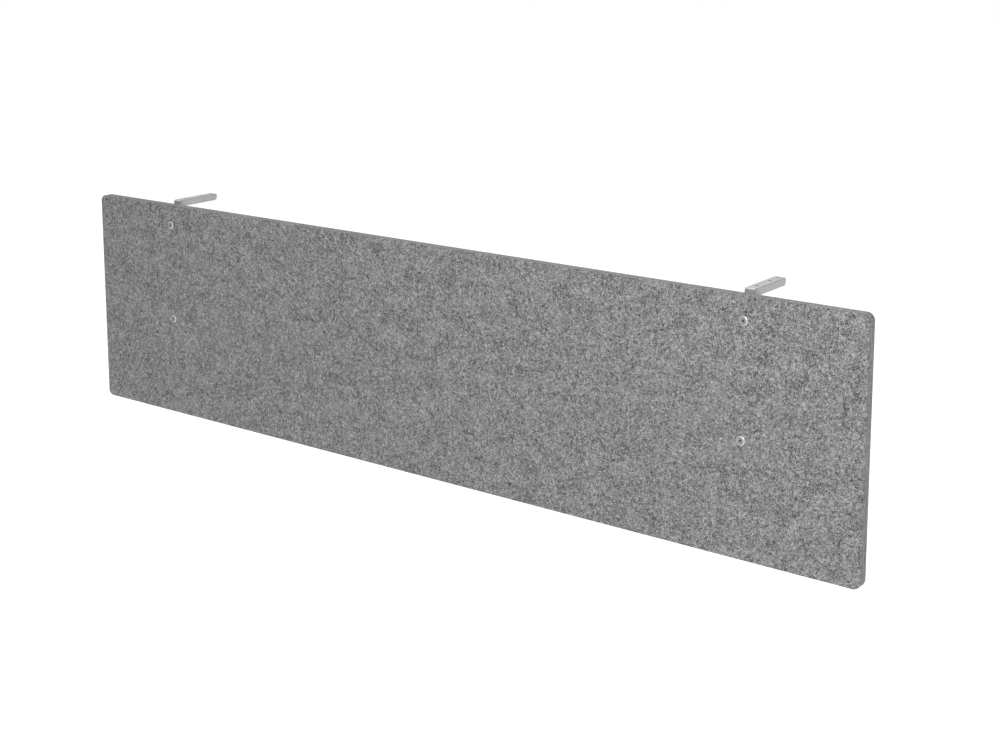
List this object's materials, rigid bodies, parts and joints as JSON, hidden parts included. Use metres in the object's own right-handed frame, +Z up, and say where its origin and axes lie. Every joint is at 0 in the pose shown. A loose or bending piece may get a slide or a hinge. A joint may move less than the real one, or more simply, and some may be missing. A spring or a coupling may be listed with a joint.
{
  "type": "desk privacy panel",
  "caption": "Long felt board with rounded corners that hangs below a desktop's edge on bent sheet-steel channel brackets, held by flat-head sleeve nuts.",
  "frame": {"origin": "middle of the rectangle of four desk screw holes, in the plane of the arms' top faces, which is the underside of the desktop", "axes": "+X along the board's length, to the right as its front face is looked at; the front face looks towards -Y and the arms run back along +Y; +Z up"},
  "size_m": [1.6, 0.1116, 0.4075],
  "materials": {
    "felt": "pressed felt in mixed greys, matt, with pale and dark fibres",
    "bracket_coat": "light grey fine-texture powder coat, satin",
    "nut_zinc": "matt bright zinc plate with turned rings",
    "screw_zinc": "bright zinc plate"
  },
  "bodies": {
    "root": {"front_felt_sheet": "felt", "rear_felt_sheet": "felt", "left_bracket": "bracket_coat", "right_bracket": "bracket_coat", "left_sleeve_nuts": "nut_zinc", "right_sleeve_nuts": "nut_zinc", "left_clamp_screws": "screw_zinc", "right_clamp_screws": "screw_zinc", "left_washers": "screw_zinc", "right_washers": "screw_zinc"}
  },
  "joints": []
}
